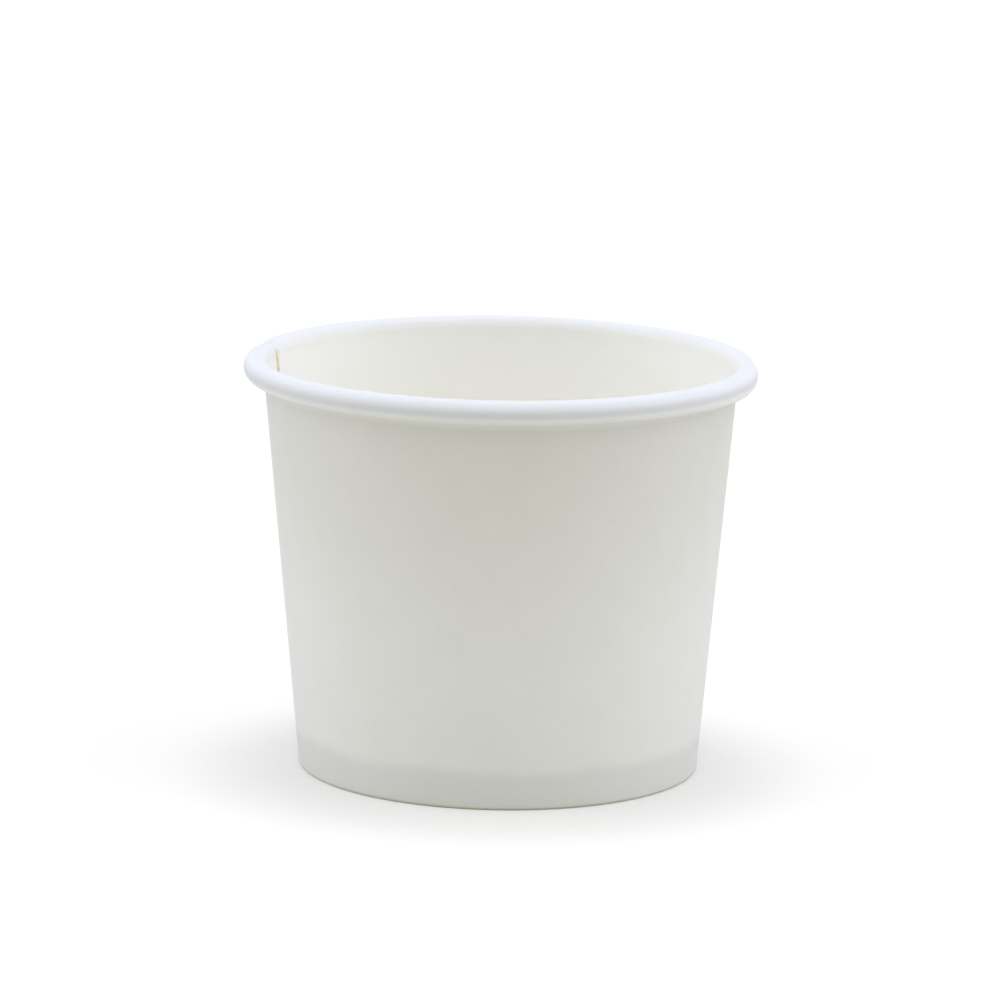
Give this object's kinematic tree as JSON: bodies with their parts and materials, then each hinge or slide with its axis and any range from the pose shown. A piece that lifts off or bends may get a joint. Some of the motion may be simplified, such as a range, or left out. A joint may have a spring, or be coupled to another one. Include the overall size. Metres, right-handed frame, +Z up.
{
  "type": "paper portion cup",
  "caption": "Small round tapered paper cup with a rolled rim, a lapped side seam and a recessed flat base.",
  "frame": {"origin": "centre of the foot ring, in the plane that the cup stands on", "axes": "+Z up the cup's axis towards the mouth; the picture looks along +Y; +X is to the right in the picture, and the side seam is near -X"},
  "size_m": [0.066, 0.066, 0.0535],
  "materials": {
    "wall_board": "plain white cup board, matt outside, coated and slightly glossy inside and on the rim",
    "base_board": "plain white cup board, coated side up"
  },
  "bodies": {
    "root": {"side_wall": "wall_board", "base_disc": "base_board"}
  },
  "joints": []
}
